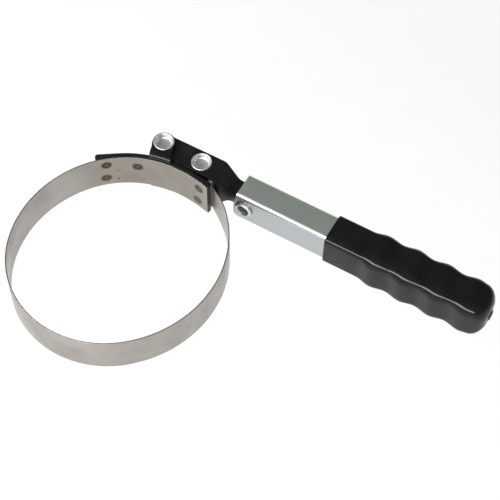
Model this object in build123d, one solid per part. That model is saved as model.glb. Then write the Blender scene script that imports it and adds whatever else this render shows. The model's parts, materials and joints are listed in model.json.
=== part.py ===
from build123d import *
from math import acos, cos, degrees, pi, radians, sin, tan
import os

# Swivel-handle band wrench for oil filters.
# Frame: origin on the axis of the filter seat (the long round arc of the band), half way
# up the band.  +Z runs along that axis, and +X along the handle, from head to grip.
# All lengths are millimetres, all angles degrees.

os.makedirs("parts", exist_ok=True)

# --- band ---------------------------------------------------------------------------
BAND_HEIGHT = 22.2          # 7/8 in strap
BAND_THICK = 0.6
EYE_HEIGHT = 17.8           # the strap is trimmed narrower where it enters the lever
SEAT_RADIUS = 50.0          # mid-line radius of the seat arc, centred on the origin
SEAT_START = 200.0          # the seat arc runs from here to SEAT_END
SEAT_END = 310.0
BACK_RADIUS = 59.0          # flatter arc between the shoulder and the seat
BACK_START = 142.5
SHOULDER_RADIUS = 51.5      # tighter arc that runs under the left of the shoe
SHOULDER_START = 92.0
SHOE_RADIUS = 70.0          # nearly straight arc at the inner end of the band
BAND_END_X = 21.95          # where the inner end is cut square
FRONT_RADIUS = 60.0         # flatter arc on the handle side
FRONT_END = 40.0
RUN_RADIUS = 52.5           # last arc before the straight run to the band pin
RUN_END = 57.5
SPLIT_ANGLE = 8.0           # here the stiff loop hands over to the flexing run
TAPER_START = 12.0          # distances back from the weld where the strap narrows
TAPER_END = 1.5

# --- lever and its pins -------------------------------------------------------------
LEVER_Y = 68.2              # line through both pins, the lever and the handle
SHOE_PIN_X = -10.0
BAND_PIN_X = 12.0
PIN_RADIUS = 4.6
PIN_RIM_RADIUS = 5.3
PIN_RIM_HEIGHT = 0.5
PIN_CUP_DEPTH = 3.0
PIN_CUP_RADIUS = 4.1
PIN_CUP_CORNER = 0.4
PIN_RIM_BEVEL = 0.2
PIN_RIM_FLAT = 0.55         # rim width from its outer edge to where the cup begins
PIVOT_FIT = 0.10            # radial clearance of a turning pin
SIDE_GAP = 0.10             # between flat plates that slide on each other
ARM_OUTER_Z = 12.0          # outer faces of the two lever arms
PLATE = 2.2                 # lever stamping thickness
ARM_HALF_WIDTH = 6.3
BEND_START_X = 23.0
BEND_END_X = 31.5
BEND_RADIUS = 5.0
NECK_TOP_Z = 4.4
NECK_BOTTOM_Z = -2.6
NECK_HALF_WIDTH = 4.85
FLANGE_START_X = 25.0
FLANGE_FOOT_Z = -7.0
ARCH = [(35.0, -3.2), (32.5, -2.1), (30.0, -2.6)]     # x, z along the flanges' lower edge
NOSE_FLAT_X = 36.4          # the neck's round end runs into its lower edge here
NOSE_FLAT_Z = -5.6
FLANGE_THICK = 2.0
LOWER_ARM_END_X = 35.5

# --- shoe ---------------------------------------------------------------------------
SHOE_THICK = 1.8
SHOE_OVERHANG = 0.3         # past the band's inner end
SHOE_TIP_LENGTH = 12.1      # straight left tip
SHOE_TIP_ANGLE = 123.5
SHOE_CORNER = 1.5
SHOE_HEIGHT = 23.4
EAR_HALF_WIDTH = 5.7
EAR_BEND = 2.6
RISER_LEFT_X = -12.4
RISER_RIGHT_X = -1.4

# --- handle -------------------------------------------------------------------------
PIVOT_X = 40.4
PIVOT_RADIUS = 3.1
CHANNEL_START_X = 34.4      # end of the side walls
CHANNEL_WEB_START_X = 35.9  # the top web is cut back a little, and the walls slope to it
CHANNEL_END_X = 165.0
CHANNEL_WIDTH = 14.6
CHANNEL_HEIGHT = 18.5
CHANNEL_Z = 0.5             # height of the section's middle over the pivot, before it droops
HANDLE_DROOP = 1.0          # the handle hangs down this much about its pivot at rest
CHANNEL_WALL = 2.0
CHANNEL_BEND = 2.2
CHANNEL_CORNER = 3.0
RIVET_HEAD_RADIUS = 4.9
RIVET_HEAD_HEIGHT = 1.4
RIVET_HEAD_EDGE = 0.5
RIVET_CROWN_RADIUS = 3.2    # flat on top of the far head
RIVET_ROLL = 0.9            # width of the rolled lip's outer and inner slopes
RIVET_BORE_RADIUS = 2.5
RIVET_BORE_DEPTH = 4.5
NECK_NOSE_RADIUS = 6.4      # round end of the neck inside the channel
GRIP_START_X = 86.4
GRIP_END_X = 173.6
GRIP_Z = -0.2               # lower than CHANNEL_Z: the vinyl is thicker below
GRIP_SKIN = 1.6             # vinyl thickness at the sides of the grip's mouth
GRIP_CORNER = 3.2
GRIP_RIDGE_START_X = 105.3  # the first finger ridge begins here
GRIP_PITCH = 16.3
GRIP_VALLEY = 0.4           # swelling over the mouth, in the valleys and on the crests
GRIP_CREST = 2.0
GRIP_ROUNDING = 2.2         # growth of the section's corner radius with its swelling
GRIP_STATIONS = 6           # sections per ridge
GRIP_NOSE_LENGTH = 7.0      # length over which the closed end rounds off
GRIP_NOSE_STATIONS = 5
GRIP_NUB_RADIUS = 2.6       # drip left at the middle of the dipped end
GRIP_NUB_LENGTH = 0.9

HALF_BAND = BAND_HEIGHT / 2
HALF_THICK = BAND_THICK / 2
TOUCH = 0.02                # gap left between welded or riveted faces
FAR = 80.0                  # reach of cutting shapes, past everything they cut
PIN_1 = (SHOE_PIN_X, LEVER_Y)
PIN_2 = (BAND_PIN_X, LEVER_Y)


def polar(centre, radius, angle):
    """The point at an angle on a circle."""
    return (centre[0] + radius * cos(radians(angle)), centre[1] + radius * sin(radians(angle)))


def carry(centre, radius, next_radius, angle):
    """Centre of the arc that meets another tangentially at the given angle."""
    return polar(centre, radius - next_radius, angle)


def ribbon(start, heading, moves, inner, outer):
    """A strip's plan: a path of lines and arcs, widened by inner and outer to its right.

    A move is (length,) for a straight run or (radius, turn) for an arc; a positive turn
    is to the left."""
    edges = []
    ends = []
    for shift in (inner, outer):
        point = polar(start, shift, heading - 90)
        ends.append([point])
        angle = heading
        for move in moves:
            if len(move) == 1:
                target = polar(point, move[0], angle)
                edges.append(Line(point, target))
            else:
                radius, turn = move
                side = 1 if turn > 0 else -1
                reach = radius + side * shift
                centre = polar(point, reach, angle + 90 * side)
                first = angle - 90 * side
                edges.append(CenterArc(centre, reach, first, turn))
                angle += turn
                target = polar(centre, reach, angle - 90 * side)
            point = target
        ends[-1].append(point)
    edges.append(Line(ends[0][0], ends[1][0]))
    edges.append(Line(ends[0][1], ends[1][1]))
    return make_face(Wire(edges))


def upright(face, low, high):
    """Extrude a plan face between two heights."""
    return Pos(0, 0, low) * extrude(face, high - low)


def side_view(face, half_width):
    """Extrude a face drawn as x, z both ways from the lever's mid-plane."""
    solid = extrude(face, half_width, both=True)
    return Pos(0, LEVER_Y, 0) * (Rot(90, 0, 0) * solid)


# Centres of the band's arcs, each tangent to the next, worked out from the seat.
SEAT_C = (0.0, 0.0)
BACK_C = carry(SEAT_C, SEAT_RADIUS, BACK_RADIUS, SEAT_START)
SHOULDER_C = carry(BACK_C, BACK_RADIUS, SHOULDER_RADIUS, BACK_START)
SHOE_C = carry(SHOULDER_C, SHOULDER_RADIUS, SHOE_RADIUS, SHOULDER_START)
FRONT_C = carry(SEAT_C, SEAT_RADIUS, FRONT_RADIUS, SEAT_END)
RUN_C = carry(FRONT_C, FRONT_RADIUS, RUN_RADIUS, FRONT_END)
BAND_END = degrees(acos((BAND_END_X - SHOE_C[0]) / SHOE_RADIUS))
RUN_HEADING = RUN_END + 90
RUN_POINT = polar(RUN_C, RUN_RADIUS, RUN_END)

# The eye: where the straight run splays round the band pin, and the tail comes back.
EYE_CLEARANCE = 0.4
EYE_RADIUS = PIN_RADIUS + EYE_CLEARANCE + HALF_THICK
EYE_SPLAY = 43.0            # turn to the right that the run makes before the pin
TAIL_SPLAY = 21.0           # turn that brings the tail back against the run
EYE_BEND = 2.0
TAIL_LENGTH = 4.0
LEVER_SWING = 25.0


def crossing(p, p_heading, q, q_heading):
    """Distances along two lines, from p and from q, to the point where they cross."""
    a = (cos(radians(p_heading)), sin(radians(p_heading)))
    b = (cos(radians(q_heading)), sin(radians(q_heading)))
    d = (q[0] - p[0], q[1] - p[1])
    det = a[0] * b[1] - a[1] * b[0]
    return (d[0] * b[1] - d[1] * b[0]) / det, (d[0] * a[1] - d[1] * a[0]) / det


def eye_path():
    """Start point and moves of the band's eye, from the weld round the pin and back."""
    swing_arm = BAND_PIN_X - SHOE_PIN_X
    sagitta = swing_arm * (1 - cos(radians(LEVER_SWING / 2)))
    centre = polar(PIN_2, sagitta / 2, LEVER_SWING / 2)
    out_heading = RUN_HEADING - EYE_SPLAY
    out_point = polar(centre, EYE_RADIUS, out_heading - 90)
    along_run, before_pin = crossing(RUN_POINT, RUN_HEADING, out_point, out_heading)
    back_heading = RUN_HEADING + 180 + TAIL_SPLAY
    back_point = polar(centre, EYE_RADIUS, back_heading - 90)
    tail_point = polar(RUN_POINT, BAND_THICK + TOUCH, RUN_HEADING + 90)
    after_pin, along_tail = crossing(back_point, back_heading, tail_point, RUN_HEADING)
    out_trim = EYE_BEND * tan(radians(EYE_SPLAY / 2))
    back_trim = EYE_BEND * tan(radians(TAIL_SPLAY / 2))
    weld = along_tail - back_trim - TAIL_LENGTH
    start = polar(RUN_POINT, weld, RUN_HEADING)
    moves = [
        (along_run - out_trim - weld,),
        (EYE_BEND, -EYE_SPLAY),
        (-before_pin - out_trim,),
        (EYE_RADIUS, back_heading - out_heading),
        (after_pin - back_trim,),
        (EYE_BEND, -TAIL_SPLAY),
        (TAIL_LENGTH,),
    ]
    return start, weld, moves


EYE_START, RUN_LENGTH, EYE_MOVES = eye_path()


def band_loop():
    """The stiff part of the band, from its square inner end round to the flexing run."""
    start = polar(SHOE_C, SHOE_RADIUS, BAND_END)
    moves = [
        (SHOE_RADIUS, SHOULDER_START - BAND_END),
        (SHOULDER_RADIUS, BACK_START - SHOULDER_START),
        (BACK_RADIUS, SEAT_START - BACK_START),
        (SEAT_RADIUS, SEAT_END - SEAT_START),
        (FRONT_RADIUS, 360 + SPLIT_ANGLE - SEAT_END),
    ]
    return upright(ribbon(start, BAND_END + 90, moves, -HALF_THICK, HALF_THICK), -HALF_BAND, HALF_BAND)


def band_run():
    """The flexing stretch of the band, which narrows towards the lever."""
    start = polar(FRONT_C, FRONT_RADIUS, SPLIT_ANGLE)
    moves = [
        (FRONT_RADIUS, FRONT_END - SPLIT_ANGLE),
        (RUN_RADIUS, RUN_END - FRONT_END),
        (RUN_LENGTH,),
    ]
    plan = ribbon(start, SPLIT_ANGLE + 90, moves, -HALF_THICK, HALF_THICK)
    strip = upright(plan, -HALF_BAND, HALF_BAND)
    half_eye = EYE_HEIGHT / 2
    outline = Polyline(
        (-FAR, HALF_BAND), (-TAPER_START, HALF_BAND), (-TAPER_END, half_eye), (1, half_eye),
        (1, -half_eye), (-TAPER_END, -half_eye), (-TAPER_START, -HALF_BAND), (-FAR, -HALF_BAND),
        close=True,
    )
    trim = Rot(0, 0, RUN_HEADING) * (Rot(90, 0, 0) * extrude(make_face(outline), FAR, both=True))
    return strip & (Pos(EYE_START[0], EYE_START[1], 0) * trim)


def band_eye():
    """The end of the strap, wrapped round the band pin and lapped back on itself."""
    plan = ribbon(EYE_START, RUN_HEADING, EYE_MOVES, -HALF_THICK, HALF_THICK)
    return upright(plan, -EYE_HEIGHT / 2, EYE_HEIGHT / 2)


def ear_plan():
    """One ear of the shoe, from its riser out round the shoe pin."""
    inner = SHOULDER_RADIUS + HALF_THICK + TOUCH
    left = polar(SHOULDER_C, inner, degrees(acos((RISER_LEFT_X - SHOULDER_C[0]) / inner)))
    right = polar(SHOULDER_C, inner, degrees(acos((RISER_RIGHT_X - SHOULDER_C[0]) / inner)))
    corners = Polyline(
        left, right, (SHOE_PIN_X + EAR_HALF_WIDTH, LEVER_Y), (SHOE_PIN_X - EAR_HALF_WIDTH, LEVER_Y),
        close=True,
    )
    plan = make_face(corners) + Pos(*PIN_1) * Circle(EAR_HALF_WIDTH)
    return plan - Pos(*SHOULDER_C) * Circle(inner)


def bend_cutter(radius, top):
    """What the rounded bend between a riser and its ear leaves out of a square corner."""
    square = Polyline((radius - 1, top - EAR_BEND), (radius + EAR_BEND, top - EAR_BEND),
                      (radius + EAR_BEND, top + 1), (radius - 1, top + 1), close=True)
    round_bend = Pos(radius + EAR_BEND, top - EAR_BEND) * Circle(EAR_BEND)
    ring = revolve(Rot(90, 0, 0) * (make_face(square) - round_bend), Axis.Z)
    return Pos(*SHOULDER_C) * ring


def shoe():
    """Curved plate behind the inner end of the band, with two ears that hold the shoe pin."""
    inner = HALF_THICK + TOUCH
    overhang = degrees(SHOE_OVERHANG / SHOE_RADIUS)
    start = polar(SHOE_C, SHOE_RADIUS, BAND_END - overhang)
    moves = [
        (SHOE_RADIUS, SHOULDER_START - BAND_END + overhang),
        (SHOULDER_RADIUS, SHOE_TIP_ANGLE - SHOULDER_START),
        (SHOE_TIP_LENGTH,),
    ]
    ear_low = ARM_OUTER_Z + SIDE_GAP
    ear_high = ear_low + PLATE
    plan = ribbon(start, BAND_END - overhang + 90, moves, inner, inner + SHOE_THICK)
    wall = upright(plan, -ear_high, ear_high)
    tall = 2 * ear_high
    bounds = plan.bounding_box()
    middle = (bounds.min.X + bounds.max.X) / 2
    body = Pos(middle, 0) * RectangleRounded(bounds.size.X, SHOE_HEIGHT, SHOE_CORNER)
    riser = Pos((RISER_LEFT_X + RISER_RIGHT_X) / 2, 0) * Rectangle(RISER_RIGHT_X - RISER_LEFT_X, tall)
    wall = wall & side_view(body + riser, 40)
    top = upright(ear_plan(), ear_low, ear_high)
    solid = wall + top + mirror(top, Plane.XY)
    corner = bend_cutter(SHOULDER_RADIUS + inner, ear_high)
    solid = solid - corner - mirror(corner, Plane.XY)
    return solid - Pos(*PIN_1) * Cylinder(PIN_RADIUS + TOUCH, 2 * tall)


def tubular_pin(place, grip_z):
    """A flared tubular pin: a round shank with a cup at each end, rolled over the plate."""
    tip = grip_z + PIN_RIM_HEIGHT
    floor = tip - PIN_CUP_DEPTH
    half = Polyline(
        (0, 0), (PIN_RADIUS, 0), (PIN_RADIUS, grip_z + TOUCH), (PIN_RIM_RADIUS, grip_z + TOUCH),
        (PIN_RIM_RADIUS, tip - PIN_RIM_BEVEL), (PIN_RIM_RADIUS - PIN_RIM_BEVEL, tip),
        (PIN_RIM_RADIUS - PIN_RIM_FLAT, tip), (PIN_CUP_RADIUS, floor + PIN_CUP_CORNER),
        (PIN_CUP_RADIUS - PIN_CUP_CORNER, floor), (0, floor), close=True,
    )
    upper = revolve(Rot(90, 0, 0) * make_face(half), Axis.Z)
    return Pos(*place) * (upper + mirror(upper, Plane.XY))


def bent_plate(outer_z, neck_z, end_x, outward):
    """Side view of a lever plate: flat arm, easy double bend, flat neck."""
    left = SHOE_PIN_X - 2 * ARM_HALF_WIDTH
    path = FilletPolyline(
        (left, outer_z), (BEND_START_X, outer_z), (BEND_END_X, neck_z), (end_x, neck_z),
        radius=BEND_RADIUS,
    )
    side = Side.RIGHT if outward > 0 else Side.LEFT
    return make_face(offset(path, amount=PLATE, side=side))


def lever_plan(inset, start_x):
    """Plan of the lever: round about the shoe pin, straight arms, tapering to the neck."""
    wide = ARM_HALF_WIDTH - inset
    slim = NECK_HALF_WIDTH - inset
    end = PIVOT_X + 2 * NECK_NOSE_RADIUS
    half = [(start_x, wide), (BEND_START_X, wide), (BEND_END_X, slim), (end, slim)]
    points = half + [(x, -y) for x, y in reversed(half)]
    return Pos(0, LEVER_Y) * make_face(Polyline(*points, close=True))


def lever_outline():
    """The lever's whole plan with its round end."""
    return lever_plan(0, SHOE_PIN_X) + Pos(*PIN_1) * Circle(ARM_HALF_WIDTH)


def neck_sides():
    """Side view of the flanges that close the neck and carry the handle's pivot."""
    path = Polyline(
        (NOSE_FLAT_X, NOSE_FLAT_Z), *ARCH, (FLANGE_START_X, FLANGE_FOOT_Z),
        (FLANGE_START_X, ARM_OUTER_Z), (PIVOT_X, ARM_OUTER_Z), (PIVOT_X, NOSE_FLAT_Z), close=True)
    return make_face(path)


def below_upper_plate():
    """Side view of everything under the upper plate's outer face."""
    end = PIVOT_X + FAR
    path = FilletPolyline(
        (SHOE_PIN_X, ARM_OUTER_Z), (BEND_START_X, ARM_OUTER_Z), (BEND_END_X, NECK_TOP_Z),
        (end, NECK_TOP_Z), radius=BEND_RADIUS,
    )
    low = Polyline((end, NECK_TOP_Z), (end, -FAR), (SHOE_PIN_X, -FAR), (SHOE_PIN_X, ARM_OUTER_Z))
    return make_face([*path.edges(), *low.edges()])


def nose_limit():
    """Side view that rounds the neck's end about the handle's pivot."""
    block = Pos(PIVOT_X - FAR / 2, 0) * Rectangle(FAR, FAR)
    return block + Pos(PIVOT_X, 0) * Circle(NECK_NOSE_RADIUS)


def pin_holes():
    """Holes for the two vertical pins: running on the shoe pin, tight on the band pin."""
    tall = 4 * ARM_OUTER_Z
    return (Pos(*PIN_1) * Cylinder(PIN_RADIUS + PIVOT_FIT, tall)
            + Pos(*PIN_2) * Cylinder(PIN_RADIUS + TOUCH, tall))


def lever_upper():
    """Upper lever stamping: arm, double bend, and a neck with down-turned flanges."""
    wide = 2 * ARM_HALF_WIDTH
    skin = side_view(bent_plate(ARM_OUTER_Z, NECK_TOP_Z, PIVOT_X + FAR, 1), wide)
    skin = skin & upright(lever_outline(), -FAR, FAR)
    rim = lever_plan(0, SHOE_PIN_X) - lever_plan(FLANGE_THICK, SHOE_PIN_X - 1)
    flange_side = (neck_sides() + Pos(PIVOT_X, 0) * Circle(NECK_NOSE_RADIUS)) & below_upper_plate()
    flanges = upright(rim, -FAR, FAR) & side_view(flange_side, wide)
    solid = (skin + flanges) & side_view(nose_limit(), wide)
    pivot = side_view(Pos(PIVOT_X, 0) * Circle(PIVOT_RADIUS + PIVOT_FIT), wide)
    return solid - pivot - pin_holes()


def lever_lower():
    """Lower lever plate: arm, double bend, and a tongue welded between the flanges."""
    wide = 2 * ARM_HALF_WIDTH
    skin = side_view(bent_plate(-ARM_OUTER_Z, NECK_BOTTOM_Z, LOWER_ARM_END_X, -1), wide)
    open_half = Pos(FLANGE_START_X - TOUCH - FAR / 2, LEVER_Y) * Rectangle(FAR, FAR)
    front = lever_outline() & open_half
    tongue = lever_plan(FLANGE_THICK + TOUCH, 0)
    return (skin & upright(front + tongue, -FAR, FAR)) - pin_holes()


def drooped(solid):
    """A part of the handle swung down about the pivot to where it hangs at rest."""
    return Pos(PIVOT_X, LEVER_Y, 0) * (Rot(0, HANDLE_DROOP, 0) * (Pos(-PIVOT_X, -LEVER_Y, 0) * solid))


def channel():
    """Handle: an inverted U of sheet steel, open underneath so that it folds down."""
    half = CHANNEL_HEIGHT / 2
    outer = Pos(0, -CHANNEL_BEND / 2) * RectangleRounded(
        CHANNEL_WIDTH, CHANNEL_HEIGHT + CHANNEL_BEND, CHANNEL_BEND)
    inner = Pos(0, -CHANNEL_WALL - half) * RectangleRounded(
        CHANNEL_WIDTH - 2 * CHANNEL_WALL, 4 * half, CHANNEL_BEND / 3)
    keep = Rectangle(2 * CHANNEL_WIDTH, CHANNEL_HEIGHT)
    section = (outer & keep) - inner
    length = CHANNEL_END_X - CHANNEL_START_X
    solid = Pos(CHANNEL_START_X, LEVER_Y, CHANNEL_Z) * (Plane.YZ * extrude(section, length))
    corners = Pos((CHANNEL_START_X + CHANNEL_END_X) / 2, CHANNEL_CORNER) * RectangleRounded(
        length, CHANNEL_HEIGHT + 2 * CHANNEL_CORNER, CHANNEL_CORNER)
    setback = make_face(Polyline(
        (CHANNEL_START_X, 0), (CHANNEL_WEB_START_X, half), (CHANNEL_START_X - half, half),
        (CHANNEL_START_X - half, 0), close=True))
    solid = solid & side_view(Pos(0, CHANNEL_Z) * (corners - setback), CHANNEL_WIDTH)
    hole = side_view(Pos(PIVOT_X, 0) * Circle(PIVOT_RADIUS + TOUCH), CHANNEL_WIDTH)
    return drooped(solid - hole)


def handle_rivet():
    """Handle pivot: a rivet with a low domed head and a rolled, hollow near end."""
    face_y = CHANNEL_WIDTH / 2 + TOUCH
    tip = face_y + RIVET_HEAD_HEIGHT
    outline = Polyline(
        (0, -tip), (RIVET_CROWN_RADIUS, -tip), (RIVET_HEAD_RADIUS, -face_y - RIVET_HEAD_EDGE),
        (RIVET_HEAD_RADIUS, -face_y), (PIVOT_RADIUS, -face_y), (PIVOT_RADIUS, face_y),
        (RIVET_HEAD_RADIUS, face_y), (RIVET_HEAD_RADIUS, face_y + RIVET_HEAD_EDGE),
        (RIVET_HEAD_RADIUS - RIVET_ROLL, tip), (RIVET_BORE_RADIUS + RIVET_ROLL / 2, tip),
        (RIVET_BORE_RADIUS, tip - RIVET_ROLL), (RIVET_BORE_RADIUS, tip - RIVET_BORE_DEPTH),
        (0, tip - RIVET_BORE_DEPTH), close=True,
    )
    solid = revolve(Rot(90, 0, 0) * make_face(outline), Axis.Z)
    return Pos(PIVOT_X, LEVER_Y, 0) * (Rot(90, 0, 0) * solid)


def grip_swell(x):
    """How far the grip stands out over its mouth at a place along the handle."""
    along = x - GRIP_RIDGE_START_X
    if along <= 0:
        return 0.0
    ridge = (1 - cos(2 * pi * along / GRIP_PITCH)) / 2
    base = GRIP_VALLEY * min(1, along / GRIP_PITCH)
    return base + (GRIP_CREST - GRIP_VALLEY) * ridge


def grip():
    """Dipped vinyl grip: a closed sleeve over the channel with finger ridges."""
    step = GRIP_PITCH / GRIP_STATIONS
    nose_x = GRIP_END_X - GRIP_NOSE_LENGTH
    outline = [(GRIP_START_X, GRIP_SKIN)]
    x = GRIP_RIDGE_START_X
    while x < nose_x:
        outline.append((x, GRIP_SKIN + grip_swell(x)))
        x += step
    full = GRIP_SKIN + grip_swell(nose_x)
    for k in range(GRIP_NOSE_STATIONS + 1):
        turn = radians(90 * k / GRIP_NOSE_STATIONS)
        rounded = full - GRIP_NOSE_LENGTH * (1 - cos(turn))
        outline.append((nose_x + GRIP_NOSE_LENGTH * sin(turn), rounded))
    faces = []
    for x, skin in outline:
        width = CHANNEL_WIDTH + 2 * skin
        height = CHANNEL_HEIGHT + 2 * skin
        corner = max(GRIP_CORNER / 2, GRIP_CORNER + GRIP_ROUNDING * (skin - GRIP_SKIN))
        section = Plane.YZ * RectangleRounded(width, height, corner)
        faces.append(Pos(x, LEVER_Y, GRIP_Z) * section)
    solid = loft(faces, ruled=True)
    drip = Rot(0, 90, 0) * Cylinder(GRIP_NUB_RADIUS, 2 * GRIP_NUB_LENGTH)
    nub = Pos(GRIP_END_X, LEVER_Y, GRIP_Z) * drip
    room = 2 * TOUCH
    start = GRIP_START_X - 1
    end = CHANNEL_END_X + room
    hollow = Box(end - start, CHANNEL_WIDTH + room, CHANNEL_HEIGHT + room)
    return drooped(solid + nub - Pos((start + end) / 2, LEVER_Y, CHANNEL_Z) * hollow)


PIECES = {
    "band_loop": band_loop(),
    "band_run": band_run(),
    "band_eye": band_eye(),
    "shoe": shoe(),
    "shoe_pin": tubular_pin(PIN_1, ARM_OUTER_Z + SIDE_GAP + PLATE),
    "band_pin": tubular_pin(PIN_2, ARM_OUTER_Z),
    "lever_upper": lever_upper(),
    "lever_lower": lever_lower(),
    "handle_channel": channel(),
    "handle_rivet": handle_rivet(),
    "vinyl_grip": grip(),
}
for name, solid in PIECES.items():
    export_step(solid, f"parts/{name}.step")
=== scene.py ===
import json
import math

import bmesh
import bpy
from mathutils import Matrix, Quaternion, Vector


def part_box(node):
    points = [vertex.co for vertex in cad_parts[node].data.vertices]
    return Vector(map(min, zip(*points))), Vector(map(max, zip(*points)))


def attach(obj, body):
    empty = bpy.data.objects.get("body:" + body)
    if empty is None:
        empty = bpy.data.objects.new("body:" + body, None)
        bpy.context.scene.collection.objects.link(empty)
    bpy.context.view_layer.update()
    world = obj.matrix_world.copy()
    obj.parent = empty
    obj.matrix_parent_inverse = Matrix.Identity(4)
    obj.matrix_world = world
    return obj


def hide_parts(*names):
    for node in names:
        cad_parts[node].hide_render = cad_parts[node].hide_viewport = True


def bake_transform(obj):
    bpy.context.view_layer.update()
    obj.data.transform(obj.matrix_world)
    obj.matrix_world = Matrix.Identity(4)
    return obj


# Swivel-handle band wrench for oil filters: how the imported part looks.
# Every size is in metres, in the part's frame: origin on the filter's axis half way up the
# band, +X along the handle from head to grip, +Z along the filter's axis.

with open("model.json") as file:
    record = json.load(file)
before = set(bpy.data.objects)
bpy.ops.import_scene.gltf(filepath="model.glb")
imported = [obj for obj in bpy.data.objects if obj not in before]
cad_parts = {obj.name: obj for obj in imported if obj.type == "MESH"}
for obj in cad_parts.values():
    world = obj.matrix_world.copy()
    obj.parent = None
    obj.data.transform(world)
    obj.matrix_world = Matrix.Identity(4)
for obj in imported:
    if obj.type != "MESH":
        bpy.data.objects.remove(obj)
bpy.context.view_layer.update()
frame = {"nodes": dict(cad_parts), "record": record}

MM = 0.001

# --- places taken from the frame ------------------------------------------------------
NODES = frame["nodes"]
JOINTS = {joint["name"]: joint for joint in frame["record"]["behaviour"]["joints"]}
PIVOT = Vector(JOINTS["handle_swivel"]["pos_m"])
LEVER_Y = PIVOT.y
GRIP_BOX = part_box("vinyl_grip")
CHANNEL_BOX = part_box("handle_channel")
RIVET_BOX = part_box("handle_rivet")
HANDLE_DROOP = math.radians(1.0)        # the handle hangs this much about its pivot at rest
CHANNEL_HALF_HEIGHT = 9.25 * MM
CHANNEL_Z = 0.5 * MM                    # its section's middle over the pivot, before drooping

# --- camera ---------------------------------------------------------------------------
CAMERA_AZIMUTH = 29.13          # degrees round from looking along +Y
CAMERA_ELEVATION = 58.01
CAMERA_ROLL = 0.53
CAMERA_DISTANCE = 0.7774
CAMERA_AIM = Vector((0.0552, 0.0415, 0.0))
CAMERA_LENS = 113.3             # mm, on a sensor of this width:
CAMERA_SENSOR = 36.0
CAMERA_CLIP_START = 0.01


# --- material helpers -----------------------------------------------------------------
NOISE_LOW = 0.3                 # most of a noise's values lie between these
NOISE_HIGH = 0.7


class Paint:
    """A node material with short ways to add the nodes this part needs."""

    def __init__(self, name, **constants):
        self.material = bpy.data.materials.new(name)
        self.material.use_nodes = True
        self.tree = self.material.node_tree
        self.shader = self.tree.nodes["Principled BSDF"]
        for key, value in constants.items():
            self.shader.inputs[key.replace("_", " ")].default_value = value
        coordinates = self.tree.nodes.new("ShaderNodeTexCoord")
        self.place = coordinates.outputs["Object"]

    def link(self, source, target):
        self.tree.links.new(source, target)

    def droop(self, angle):
        """From here on, place is turned back by an angle about Y, along a drooping part."""
        node = self.tree.nodes.new("ShaderNodeMapping")
        node.vector_type = "TEXTURE"
        node.inputs["Rotation"].default_value = (0.0, angle, 0.0)
        self.link(self.place, node.inputs["Vector"])
        self.place = node.outputs["Vector"]

    def stretched(self, x, y, z):
        """The place multiplied along each axis."""
        node = self.tree.nodes.new("ShaderNodeMapping")
        node.inputs["Scale"].default_value = (x, y, z)
        self.link(self.place, node.inputs["Vector"])
        return node.outputs["Vector"]

    def height(self):
        """The place's Z."""
        node = self.tree.nodes.new("ShaderNodeSeparateXYZ")
        self.link(self.place, node.inputs["Vector"])
        return node.outputs["Z"]

    def noise(self, place, scale, detail=3.0, roughness=0.5):
        node = self.tree.nodes.new("ShaderNodeTexNoise")
        node.inputs["Scale"].default_value = scale
        node.inputs["Detail"].default_value = detail
        node.inputs["Roughness"].default_value = roughness
        self.link(place, node.inputs["Vector"])
        return node.outputs["Fac"]

    def ramp(self, factor, low, high, start, end):
        """Map a factor between two limits onto two values, held flat outside them."""
        node = self.tree.nodes.new("ShaderNodeMapRange")
        node.interpolation_type = "SMOOTHSTEP"
        node.inputs["From Min"].default_value = low
        node.inputs["From Max"].default_value = high
        node.inputs["To Min"].default_value = start
        node.inputs["To Max"].default_value = end
        self.link(factor, node.inputs["Value"])
        return node.outputs["Result"]

    def math(self, operation, a, b):
        node = self.tree.nodes.new("ShaderNodeMath")
        node.operation = operation
        for socket, value in zip(node.inputs, (a, b)):
            if isinstance(value, (int, float)):
                socket.default_value = value
            else:
                self.link(value, socket)
        return node.outputs["Value"]

    def mix(self, factor, first, second):
        """Mix two colours, each a socket or a constant."""
        node = self.tree.nodes.new("ShaderNodeMix")
        node.data_type = "RGBA"
        self.link(factor, node.inputs["Factor"])
        for socket, value in ((node.inputs[6], first), (node.inputs[7], second)):
            if isinstance(value, tuple):
                socket.default_value = (*value, 1.0)
            else:
                self.link(value, socket)
        return node.outputs[2]

    def vary(self, noise, first, second, low=NOISE_LOW, high=NOISE_HIGH, most=1.0):
        """Mix two colours by a noise, with up to this much of the second."""
        return self.mix(self.ramp(noise, low, high, 0.0, most), first, second)

    def spot(self, reach, full, end, strength, color, tint):
        """Tint a colour within a reach: fully up to full, then less, until end."""
        return self.mix(self.ramp(reach, full, end, strength, 0.0), color, tint)

    def distance_to(self, point):
        node = self.tree.nodes.new("ShaderNodeVectorMath")
        node.operation = "DISTANCE"
        node.inputs[1].default_value = point
        self.link(self.place, node.inputs[0])
        return node.outputs["Value"]

    def bump(self, height, strength, distance):
        node = self.tree.nodes.new("ShaderNodeBump")
        node.inputs["Strength"].default_value = strength
        node.inputs["Distance"].default_value = distance
        self.link(height, node.inputs["Height"])
        self.link(node.outputs["Normal"], self.shader.inputs["Normal"])

    def color(self, socket):
        self.link(socket, self.shader.inputs["Base Color"])

    def roughness(self, noise, start, end):
        """Roughness that follows a noise."""
        smooth = self.ramp(noise, NOISE_LOW, NOISE_HIGH, start, end)
        self.link(smooth, self.shader.inputs["Roughness"])


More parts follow.
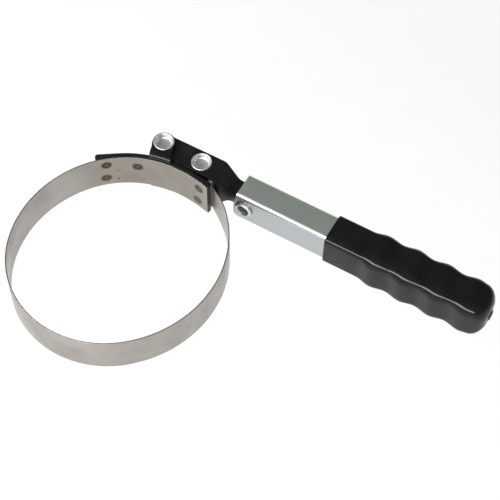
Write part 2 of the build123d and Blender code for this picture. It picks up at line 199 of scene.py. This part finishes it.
# --- band: satin stainless strap with spot-weld marks ---------------------------------
STEEL_LIGHT = (0.395, 0.372, 0.345)
STEEL_DARK = (0.31, 0.288, 0.262)
WELD_RING = (0.045, 0.029, 0.018)
WELD_CENTRE = (0.12, 0.092, 0.07)
HEAT_TINT = (0.33, 0.27, 0.18)
NICK = (0.02, 0.017, 0.015)
SHOE_REFLECTION_TINT = (0.18, 0.155, 0.128)  # painted reflection: duller, browner steel round the shoe, where the black shoe and lever are mirrored in the strap
SHOE_REFLECTION_CENTRE = (-0.008, 0.060, 0.0)
SHOE_REFLECTION_FULL = 18 * MM
SHOE_REFLECTION_END = 52 * MM
SHOE_REFLECTION_STRENGTH = 0.5
ROLLING_LINES = (60.0, 60.0, 3000.0)    # fine across the strap, long round it
WELD_RADIUS = 2.9 * MM
WELD_RAGGED = 0.9 * MM          # how far the marks' outlines wander
# Layers of a mark: where each is full and where it ends, in radii, its strength and colour.
WELD_LAYERS = [(0.85, 1.35, 0.92, WELD_RING), (0.2, 0.75, 0.9, WELD_CENTRE)]
HEAT_REACH = 9.0 * MM
HEAT_STRENGTH = 0.55
# Arcs of the strap: centre x, centre y and the radius of its inner face.
SHOULDER_FACE = (2.51 * MM, 7.64 * MM, 51.2 * MM)
SHOE_FACE = (3.15 * MM, -10.84 * MM, 69.7 * MM)
# Places on those faces: the arc, degrees round it, and height.
WELDS = [
    (SHOULDER_FACE, 131.05, 5.7 * MM),
    (SHOULDER_FACE, 131.85, -5.2 * MM),
    (SHOULDER_FACE, 113.4, 3.5 * MM),
    (SHOE_FACE, 79.0, 4.9 * MM),
    (SHOE_FACE, 79.75, -5.9 * MM),
]
HEATED_WELDS = 2                # only the first of them have a heat tint round them
NICKS = [(SHOULDER_FACE, 124.8, 0.2 * MM), (SHOULDER_FACE, 125.0, -7.0 * MM)]
NICK_RADIUS = 0.95 * MM
NICK_LAYERS = [(0.6, 1.4, 0.9, NICK)]


def on_face(face, angle, height):
    x, y, radius = face
    turn = math.radians(angle)
    return (x + radius * math.cos(turn), y + radius * math.sin(turn), height)


def steel_paint():
    paint = Paint("band_steel", Metallic=1.0)
    cloudy = paint.noise(paint.place, scale=60.0, detail=4.0)
    rolled = paint.noise(paint.stretched(*ROLLING_LINES), scale=1.0, detail=2.0)
    color = paint.vary(cloudy, STEEL_DARK, STEEL_LIGHT)
    color = paint.vary(rolled, color, STEEL_DARK, low=0.35, high=0.75, most=0.3)
    # painted reflection of the black shoe and lever, darkening the strap round the shoe
    color = paint.spot(paint.distance_to(SHOE_REFLECTION_CENTRE), SHOE_REFLECTION_FULL, SHOE_REFLECTION_END,
                       SHOE_REFLECTION_STRENGTH, color, SHOE_REFLECTION_TINT)
    wander = paint.noise(paint.place, scale=900.0, detail=2.0)
    ragged = paint.math("MULTIPLY", wander, WELD_RAGGED)
    for index, weld in enumerate(WELDS):
        reach = paint.math("ADD", paint.distance_to(on_face(*weld)), ragged)
        if index < HEATED_WELDS:
            color = paint.spot(reach, WELD_RADIUS, HEAT_REACH, HEAT_STRENGTH, color, HEAT_TINT)
        for full, end, strength, tint in WELD_LAYERS:
            color = paint.spot(reach, WELD_RADIUS * full, WELD_RADIUS * end, strength, color, tint)
    for nick in NICKS:
        reach = paint.math("ADD", paint.distance_to(on_face(*nick)), ragged)
        for full, end, strength, tint in NICK_LAYERS:
            color = paint.spot(reach, NICK_RADIUS * full, NICK_RADIUS * end, strength, color, tint)
    paint.color(color)
    smudge = paint.noise(paint.place, scale=110.0, detail=5.0, roughness=0.65)
    paint.roughness(smudge, 0.30, 0.46)
    paint.bump(rolled, strength=0.06, distance=0.05 * MM)
    return paint.material


# --- shoe and lever: black stoving enamel ---------------------------------------------
ENAMEL_DARK = (0.006, 0.006, 0.006)
ENAMEL_LIGHT = (0.011, 0.011, 0.0115)


def enamel_paint():
    paint = Paint("black_paint", Specular_IOR_Level=0.22)
    cloudy = paint.noise(paint.place, scale=90.0, detail=4.0, roughness=0.6)
    paint.color(paint.vary(cloudy, ENAMEL_DARK, ENAMEL_LIGHT, low=0.35))
    paint.roughness(cloudy, 0.26, 0.38)
    paint.bump(paint.noise(paint.place, scale=1500.0), strength=0.18, distance=0.1 * MM)
    return paint.material


# --- pins and rivet: bright zinc ------------------------------------------------------
ZINC_DARK = (0.58, 0.59, 0.60)
ZINC_LIGHT = (0.68, 0.69, 0.70)
# painted shade inside the rivet's hollow bore, darkening its recess
BORE_SHADE = (0.16, 0.16, 0.155)
BORE_SHADE_REACH = 3.6 * MM           # reach of the painted shade from the middle of the rivet's bore
BORE_SHADE_FULL = 0.8           # share of that reach where it begins to thin
BORE_SHADE_STRENGTH = 0.85
BORE_MIDDLE_DEPTH = 3.4 * MM
BORE_MIDDLE = ((RIVET_BOX[0].x + RIVET_BOX[1].x) / 2, RIVET_BOX[0].y + BORE_MIDDLE_DEPTH, 0.0)


def pin_paint(name, bore_shade_centre=None):
    """Bright zinc; the second argument, if given, is the middle of a bore whose inside is darkened
    by painted shade.
    """
    paint = Paint(name, Metallic=1.0)
    cloudy = paint.noise(paint.place, scale=500.0, detail=4.0, roughness=0.6)
    color = paint.vary(cloudy, ZINC_DARK, ZINC_LIGHT)
    if bore_shade_centre:
        # painted shade in the bore's recess
        color = paint.spot(paint.distance_to(bore_shade_centre), BORE_SHADE_REACH * BORE_SHADE_FULL, BORE_SHADE_REACH,
                           BORE_SHADE_STRENGTH, color, BORE_SHADE)
    paint.color(color)
    paint.roughness(cloudy, 0.44, 0.54)
    return paint.material


# --- handle: zinc plated strip with drawing lines -------------------------------------
PLATE_DARK = (0.60, 0.66, 0.60)
PLATE_LIGHT = (0.70, 0.75, 0.69)
PLATE_BAND = (0.54, 0.60, 0.55)
PLATE_CLOUD = (0.74, 0.76, 0.70)
PLATE_SIDE_SHADE = (0.34, 0.37, 0.395)        # painted shade: the sides below the top bend darker and bluer than the top
DRAWN_LINES = (12.0, 2400.0, 2400.0)    # long along the handle, fine across it
DRAWN_BANDS = (6.0, 500.0, 500.0)
SIDE_SHADE_START = 0.4 * MM      # depths under the top face
SIDE_SHADE_FULL = 2.2 * MM
SIDE_SHADE_STRENGTH = 0.75


def plate_paint():
    paint = Paint("zinc_plate", Metallic=1.0)
    paint.droop(HANDLE_DROOP)
    lines = paint.noise(paint.stretched(*DRAWN_LINES), scale=1.0, detail=3.0, roughness=0.6)
    bands = paint.noise(paint.stretched(*DRAWN_BANDS), scale=1.0, detail=2.0)
    cloudy = paint.noise(paint.place, scale=70.0, detail=4.0)
    color = paint.vary(lines, PLATE_DARK, PLATE_LIGHT)
    color = paint.vary(bands, color, PLATE_BAND, low=0.4, most=0.5)
    color = paint.vary(cloudy, color, PLATE_CLOUD, low=0.35, high=0.75, most=0.35)
    top = CHANNEL_Z + CHANNEL_HALF_HEIGHT + PIVOT.x * math.sin(HANDLE_DROOP)
    # painted shade: the sides below the top bend get a darker, bluer colour than the top
    paint.color(paint.spot(paint.height(), top - SIDE_SHADE_FULL, top - SIDE_SHADE_START,
                           SIDE_SHADE_STRENGTH, color, PLATE_SIDE_SHADE))
    paint.roughness(bands, 0.28, 0.36)
    paint.bump(lines, strength=0.06, distance=0.05 * MM)
    return paint.material


# --- grip: dipped glossy vinyl --------------------------------------------------------
VINYL_DARK = (0.0045, 0.0045, 0.0047)
VINYL_LIGHT = (0.008, 0.008, 0.0083)


def vinyl_paint():
    paint = Paint("black_vinyl", Specular_IOR_Level=0.19)
    cloudy = paint.noise(paint.place, scale=120.0, detail=4.0, roughness=0.6)
    paint.color(paint.vary(cloudy, VINYL_DARK, VINYL_LIGHT, low=0.35))
    paint.roughness(cloudy, 0.11, 0.19)
    ripples = paint.noise(paint.place, scale=260.0, detail=2.0)
    paint.bump(ripples, strength=0.05, distance=0.2 * MM)
    return paint.material


PAINTS = {
    "band_steel": steel_paint(),
    "black_paint": enamel_paint(),
    "bright_zinc": pin_paint("bright_zinc"),
    "rivet_zinc_bore_shade": pin_paint("bright_zinc_rivet", BORE_MIDDLE),
    "zinc_plate": plate_paint(),
    "black_vinyl": vinyl_paint(),
}

# --- piece helpers --------------------------------------------------------------------
MERGE_DISTANCE = 1e-6
FLAT_ANGLE = math.radians(0.5)  # CAD facets flatter than this to each other are joined
EDGE_ANGLE = math.radians(38)   # edges sharper than this are rounded
EDGE_SEGMENTS = 3
LATHE_STEPS = 96


def new_object(name, mesh):
    piece = bpy.data.objects.new(name, mesh)
    bpy.context.scene.collection.objects.link(piece)
    return piece


def object_from(name, mesh):
    """An object that takes over a finished bmesh."""
    data = bpy.data.meshes.new(name)
    mesh.to_mesh(data)
    mesh.free()
    return new_object(name, data)


def finish_piece(piece, body, slot, nodes, paint=None):
    """Give a piece its material, tie it to its body and let it stand for its CAD nodes."""
    piece.data.materials.clear()
    piece.data.materials.append(PAINTS[paint or slot])
    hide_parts(*nodes)
    if body:
        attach(piece, body)
    return piece


def eased(name, node, body, slot, edge):
    """A copy of a CAD node with its sharp edges eased by a small round."""
    mesh = bmesh.new()
    mesh.from_mesh(NODES[node].data)
    bmesh.ops.remove_doubles(mesh, verts=mesh.verts, dist=MERGE_DISTANCE)
    bmesh.ops.dissolve_limit(mesh, angle_limit=FLAT_ANGLE, verts=mesh.verts, edges=mesh.edges)
    for face in mesh.faces:
        face.smooth = True
    piece = object_from(name, mesh)
    bevel = piece.modifiers.new("eased_edges", "BEVEL")
    bevel.width = edge
    bevel.segments = EDGE_SEGMENTS
    bevel.limit_method = "ANGLE"
    bevel.angle_limit = EDGE_ANGLE
    bevel.harden_normals = True
    return finish_piece(piece, body, slot, [node])


def lathe(name, profile, centre, axis):
    """Spin an (r, h) profile, closed on the axis at both ends, about an axis through centre."""
    turn = Vector((0, 0, 1)).rotation_difference(Vector(axis))
    mesh = bmesh.new()
    rings = []
    for radius, height in profile:
        if radius < MERGE_DISTANCE:
            place = Vector(centre) + turn @ Vector((0, 0, height))
            rings.append([mesh.verts.new(place)])
            continue
        ring = []
        for step in range(LATHE_STEPS):
            angle = 2 * math.pi * step / LATHE_STEPS
            spot = Vector((radius * math.cos(angle), radius * math.sin(angle), height))
            ring.append(mesh.verts.new(Vector(centre) + turn @ spot))
        rings.append(ring)
    for low, high in zip(rings, rings[1:]):
        for step in range(LATHE_STEPS):
            after = (step + 1) % LATHE_STEPS
            corners = [low[step % len(low)], low[after % len(low)],
                       high[after % len(high)], high[step % len(high)]]
            mesh.faces.new(list(dict.fromkeys(corners))).smooth = True
    bmesh.ops.recalc_face_normals(mesh, faces=mesh.faces)
    return object_from(name, mesh)


def sweep(start, turn, steps):
    """Angles from a start through a turn, both in degrees, in even steps."""
    return [math.radians(start + turn * step / steps) for step in range(steps + 1)]


# --- pins -----------------------------------------------------------------------------
PIN_SHANK = 4.6 * MM
PIN_LIP = 0.34 * MM             # radius of the rolled rim's section
PIN_LIP_START = -60             # degrees: the rim's roll begins tucked under its outside
PIN_CUP_RADIUS = 4.1 * MM
PIN_CUP_DEPTH = 3.0 * MM
PIN_WALL_TOP = 0.9              # where the cup's wall leaves the rim, in lips under its top
PIN_WALL_BOW = 0.8              # exponent of the wall's gentle curve
PIN_FLOOR_ROUND = 0.5 * MM
PIN_FLOOR_DISH = 0.6            # height of the floor's round edge over its width
PIN_LIP_STEPS = 8
PIN_WALL_STEPS = 6
PIN_FLOOR_STEPS = 4


def rolled_end(outer, top):
    """Half profile of a flared tube end, from the shank out over the rim and down the cup."""
    lip_middle = outer - PIN_LIP
    points = [(PIN_SHANK, 0.0), (PIN_SHANK, top - 2 * PIN_LIP), (lip_middle, top - 2 * PIN_LIP)]
    for angle in sweep(PIN_LIP_START, 180, PIN_LIP_STEPS):
        points.append((lip_middle + PIN_LIP * math.cos(angle),
                       top - PIN_LIP + PIN_LIP * math.sin(angle)))
    inner = outer - 2 * PIN_LIP
    wall_height = PIN_CUP_DEPTH - PIN_LIP - PIN_FLOOR_ROUND
    for step in range(PIN_WALL_STEPS + 1):
        share = step / PIN_WALL_STEPS
        points.append((inner + (PIN_CUP_RADIUS - inner) * share ** PIN_WALL_BOW,
                       top - PIN_LIP * PIN_WALL_TOP - wall_height * share))
    floor = top - PIN_CUP_DEPTH
    for angle in sweep(0, 90, PIN_FLOOR_STEPS)[1:]:
        rise = PIN_FLOOR_ROUND * (1 - math.sin(angle)) * PIN_FLOOR_DISH
        points.append((PIN_CUP_RADIUS - PIN_FLOOR_ROUND * math.sin(angle), floor + rise))
    points.append((0.0, floor))
    return points


def vertical_pin(node, body):
    low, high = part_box(node)
    centre = ((low.x + high.x) / 2, (low.y + high.y) / 2, 0.0)
    half = rolled_end((high.x - low.x) / 2, high.z)
    # Both halves start at mid-height, so the ring there is doubled.
    profile = [(r, -h) for r, h in reversed(half)] + half
    piece = lathe(node + "_tube", profile, centre, (0, 0, 1))
    return finish_piece(piece, body, "bright_zinc", [node])


vertical_pin("shoe_pin", "head")
vertical_pin("band_pin", "lever")

# --- handle rivet ---------------------------------------------------------------------
RIVET_SHANK = 3.05 * MM
RIVET_LIP = 0.95 * MM           # half the width of the rolled lip
RIVET_LIP_INSET = 0.2 * MM      # the lip's foot sits in from its widest
RIVET_LIP_START = -20           # degrees, and how far the lip rolls from there
RIVET_LIP_TURN = 200
RIVET_LIP_MIDDLE = 0.35         # height of the roll's middle, as a share of the lip's
RIVET_HOLE = 2.9 * MM
RIVET_HOLE_EDGE = 0.3 * MM
RIVET_HOLE_DEPTH = 4.4 * MM
RIVET_LIP_STEPS = 12
DOME_STEPS = 10


def swivel_rivet():
    """Handle pivot: rolled hollow end on the near side, low dome on the far side."""
    low, high = RIVET_BOX
    centre = Vector(((low.x + high.x) / 2, (low.y + high.y) / 2, (low.z + high.z) / 2))
    outer = (high.x - low.x) / 2
    half = (high.y - low.y) / 2
    face = CHANNEL_BOX[1].y - centre.y
    height = half - face
    profile = [(0.0, -half)]
    for angle in sweep(0, 90, DOME_STEPS)[1:]:
        profile.append((outer * math.sin(angle), -face - height * math.cos(angle)))
    profile += [(RIVET_SHANK, -face), (RIVET_SHANK, face), (outer - RIVET_LIP_INSET, face)]
    for angle in sweep(RIVET_LIP_START, RIVET_LIP_TURN, RIVET_LIP_STEPS):
        rise = RIVET_LIP_MIDDLE + (1 - RIVET_LIP_MIDDLE) * math.sin(angle)
        profile.append((outer - RIVET_LIP + RIVET_LIP * math.cos(angle), face + height * rise))
    profile += [(RIVET_HOLE, face - RIVET_HOLE_EDGE), (RIVET_HOLE, half - RIVET_HOLE_DEPTH),
                (0.0, half - RIVET_HOLE_DEPTH)]
    piece = lathe("swivel_rivet", profile, centre, (0, -1, 0))
    return finish_piece(piece, "handle", "bright_zinc", ["handle_rivet"], "rivet_zinc_bore_shade")


swivel_rivet()

# --- stamped and rolled parts ---------------------------------------------------------
STRAP_EDGE = 0.12 * MM          # rounds on the sheet's cut edges
STAMPING_EDGE = 0.35 * MM
CHANNEL_EDGE = 0.2 * MM

eased("band_shell", "band_loop", "head", "band_steel", STRAP_EDGE)
eased("band_wrap", "band_eye", "strap_end", "band_steel", STRAP_EDGE)
eased("shoe_plate", "shoe", "head", "black_paint", STAMPING_EDGE)
eased("lever_top", "lever_upper", "lever", "black_paint", STAMPING_EDGE)
eased("lever_bottom", "lever_lower", "lever", "black_paint", STAMPING_EDGE)
eased("channel_skin", "handle_channel", "handle", "zinc_plate", CHANNEL_EDGE)

run = eased("band_flex", "band_run", None, "band_steel", STRAP_EDGE)
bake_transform(run)

# --- vinyl grip -----------------------------------------------------------------------
GRIP_Z = -0.2 * MM              # height of its middle over the pivot, before drooping
GRIP_SKIN = 1.6 * MM
GRIP_CORNER = 3.2 * MM
RIDGE_START = 18.9 * MM         # from the mouth to where the first finger ridge begins
RIDGE_PITCH = 16.3 * MM
VALLEY = 0.4 * MM
CREST = 1.95 * MM
ROUNDING = 1.5                  # growth of the corner radius with the swelling
NOSE = 7.6 * MM
NOSE_INSET = 0.82               # how far the section draws in over the nose, in nose lengths
NOSE_ROUNDING = 2.0 * MM        # growth of the corner radius over the nose
NUB_RADIUS = 2.6 * MM           # drip left at the middle of the dipped end
NUB_LENGTH = 0.9 * MM
# The drip's outline: radius and place along it, as shares of the two above.
NUB_OUTLINE = ((1.5, 0.02), (1.15, 0.2), (1.0, 0.55), (0.85, 0.9), (0.5, 1.0))
MOUTH_ROUND = 0.7 * MM
CORNER_STEPS = 14
SIDE_STEPS = 6
MOUTH_STEPS = 4
NOSE_STEPS = 14
SECTION_STEP = 0.6 * MM
ROUNDEST = 0.98                 # corner radius at most this share of the section's half size
QUARTERS = ((1, 1), (-1, 1), (-1, -1), (1, -1))     # signs of y and z round the section


def rounded_section(x, half_width, half_height, corner):
    """A ring of points round a rounded rectangle across the handle."""
    corner = min(corner, half_width * ROUNDEST, half_height * ROUNDEST)

    def on_corner(quarter, angle):
        side_y, side_z = QUARTERS[quarter % len(QUARTERS)]
        return (x, LEVER_Y + side_y * (half_width - corner) + corner * math.cos(angle),
                GRIP_Z + side_z * (half_height - corner) + corner * math.sin(angle))

    points = []
    for quarter in range(len(QUARTERS)):
        angles = sweep(90 * quarter, 90, CORNER_STEPS)
        points += [on_corner(quarter, angle) for angle in angles]
        last = points[-1]
        ahead = on_corner(quarter + 1, angles[-1])
        for step in range(1, SIDE_STEPS):
            share = step / SIDE_STEPS
            points.append(tuple(a + (b - a) * share for a, b in zip(last, ahead)))
    return points


def grip_swell(along):
    """How far the grip stands out at a distance past the start of its first ridge."""
    if along <= 0:
        return 0.0
    ridge = (1 - math.cos(2 * math.pi * along / RIDGE_PITCH)) / 2
    return VALLEY * min(1, along / RIDGE_PITCH) + (CREST - VALLEY) * ridge


def grip_rings():
    """Sections of the grip from mouth to drip, before it droops."""
    low, high = GRIP_BOX
    half_width = (CHANNEL_BOX[1].y - CHANNEL_BOX[0].y) / 2
    half_height = CHANNEL_HALF_HEIGHT
    lean = math.sin(HANDLE_DROOP)           # a corner below the pivot's level drops back in X
    mouth_x = low.x + (half_height + GRIP_SKIN - GRIP_Z) * lean
    end_x = high.x - NUB_RADIUS * lean - NUB_LENGTH
    nose_x = end_x - NOSE

    rings = [rounded_section(mouth_x, half_width, half_height, GRIP_CORNER)]
    for turn in sweep(0, 90, MOUTH_STEPS):
        skin = GRIP_SKIN - MOUTH_ROUND * (1 - math.sin(turn))
        rings.append(rounded_section(mouth_x + MOUTH_ROUND * (1 - math.cos(turn)),
                                     half_width + skin, half_height + skin, GRIP_CORNER))
    count = round((nose_x - mouth_x) / SECTION_STEP)
    for step in range(1, count + 1):
        along = MOUTH_ROUND + (nose_x - mouth_x - MOUTH_ROUND) * step / count
        swell = grip_swell(along - RIDGE_START)
        rings.append(rounded_section(mouth_x + along, half_width + GRIP_SKIN + swell,
                                     half_height + GRIP_SKIN + swell,
                                     GRIP_CORNER + ROUNDING * swell))
    full = GRIP_SKIN + grip_swell(nose_x - mouth_x - RIDGE_START)
    corner = GRIP_CORNER + ROUNDING * (full - GRIP_SKIN)
    for turn in sweep(0, 90, NOSE_STEPS)[1:]:
        inset = NOSE * NOSE_INSET * (1 - math.cos(turn))
        rings.append(rounded_section(nose_x + NOSE * math.sin(turn),
                                     half_width + full - inset, half_height + full - inset,
                                     corner + NOSE_ROUNDING * (1 - math.cos(turn))))
    for radius, length in NUB_OUTLINE:
        size = NUB_RADIUS * radius
        rings.append(rounded_section(end_x + NUB_LENGTH * length, size, size, size))
    return rings


def grip_sleeve():
    """Dipped grip: its sections skinned and closed, then swung down with the handle."""
    mesh = bmesh.new()
    loops = [[mesh.verts.new(point) for point in ring] for ring in grip_rings()]
    for first, second in zip(loops, loops[1:]):
        for index in range(len(first)):
            after = (index + 1) % len(first)
            corners = (first[index], first[after], second[after], second[index])
            mesh.faces.new(corners).smooth = True
    mesh.faces.new(loops[0])
    mesh.faces.new(loops[-1]).smooth = True
    bmesh.ops.recalc_face_normals(mesh, faces=mesh.faces)
    bmesh.ops.rotate(mesh, cent=PIVOT, matrix=Matrix.Rotation(HANDLE_DROOP, 3, "Y"),
                     verts=mesh.verts)
    piece = object_from("grip_sleeve", mesh)
    return finish_piece(piece, "handle", "black_vinyl", ["vinyl_grip"])


grip_sleeve()

# --- stage ----------------------------------------------------------------------------
FLOOR_SIZE = 10.0               # half its side
FLOOR_CELLS = 24
FLOOR_RIM = 0.45                # the outermost cells rise this much, to close off low views
# The floor lies under the reach of the handle folded down, so that every pose shows it whole.
FLOOR_Z = PIVOT.x - GRIP_BOX[1].x - 10.0 * MM
FLOOR_COLOR = (0.20, 0.20, 0.20)
FLOOR_COLOR_LIGHT = (0.22, 0.22, 0.22)
FLOOR_GLOW = 0.75               # lights the tool from below as a light table would
WHITE = (1.0, 1.0, 1.0, 1.0)
DAYLIGHT = 0.3
STRIP_DIRECTION = (-0.26, -0.85, 0.46)
STRIP_DISTANCE = 1.3
STRIP_WIDTH = 2.6
STRIP_HEIGHT = 0.34
STRIP_POWER = 54.0


def floor():
    mesh = bmesh.new()
    bmesh.ops.create_grid(mesh, x_segments=FLOOR_CELLS, y_segments=FLOOR_CELLS, size=FLOOR_SIZE)
    for vert in mesh.verts:
        if max(abs(vert.co.x), abs(vert.co.y)) > FLOOR_SIZE * (1 - 1 / FLOOR_CELLS):
            vert.co.z = FLOOR_RIM
    plane = object_from("floor", mesh)
    plane.location = (CAMERA_AIM.x, CAMERA_AIM.y, FLOOR_Z)
    paint = Paint("floor_paper", Roughness=0.7, Emission_Color=WHITE,
                  Emission_Strength=FLOOR_GLOW)
    mottle = paint.noise(paint.place, scale=40.0)
    paint.color(paint.mix(mottle, FLOOR_COLOR, FLOOR_COLOR_LIGHT))
    plane.data.materials.append(paint.material)


def near_strip():
    """A long strip light on the camera's side, which draws the lines along the handle."""
    data = bpy.data.lights.new("near_strip", "AREA")
    data.shape = "RECTANGLE"
    data.size = STRIP_WIDTH
    data.size_y = STRIP_HEIGHT
    data.energy = STRIP_POWER
    light = new_object("near_strip", data)
    toward = Vector(STRIP_DIRECTION).normalized()
    light.location = CAMERA_AIM + toward * STRIP_DISTANCE
    light.rotation_mode = "QUATERNION"
    light.rotation_quaternion = (-toward).to_track_quat("-Z", "Y")


def daylight():
    world = bpy.data.worlds.new("studio")
    world.use_nodes = True
    background = world.node_tree.nodes["Background"]
    background.inputs["Color"].default_value = WHITE
    background.inputs["Strength"].default_value = DAYLIGHT
    bpy.context.scene.world = world


def camera():
    data = bpy.data.cameras.new("camera")
    data.lens = CAMERA_LENS
    data.sensor_width = CAMERA_SENSOR
    data.clip_start = CAMERA_CLIP_START
    eye = new_object("camera", data)
    azimuth = math.radians(CAMERA_AZIMUTH)
    elevation = math.radians(CAMERA_ELEVATION)
    back = Vector((math.sin(azimuth) * math.cos(elevation),
                   -math.cos(azimuth) * math.cos(elevation), math.sin(elevation)))
    eye.location = CAMERA_AIM + back * CAMERA_DISTANCE
    eye.rotation_mode = "QUATERNION"
    roll = Quaternion((0, 0, 1), math.radians(CAMERA_ROLL))
    eye.rotation_quaternion = (-back).to_track_quat("-Z", "Y") @ roll
    bpy.context.scene.camera = eye


floor()
daylight()
near_strip()
camera()
bpy.context.scene.view_settings.view_transform = "Standard"
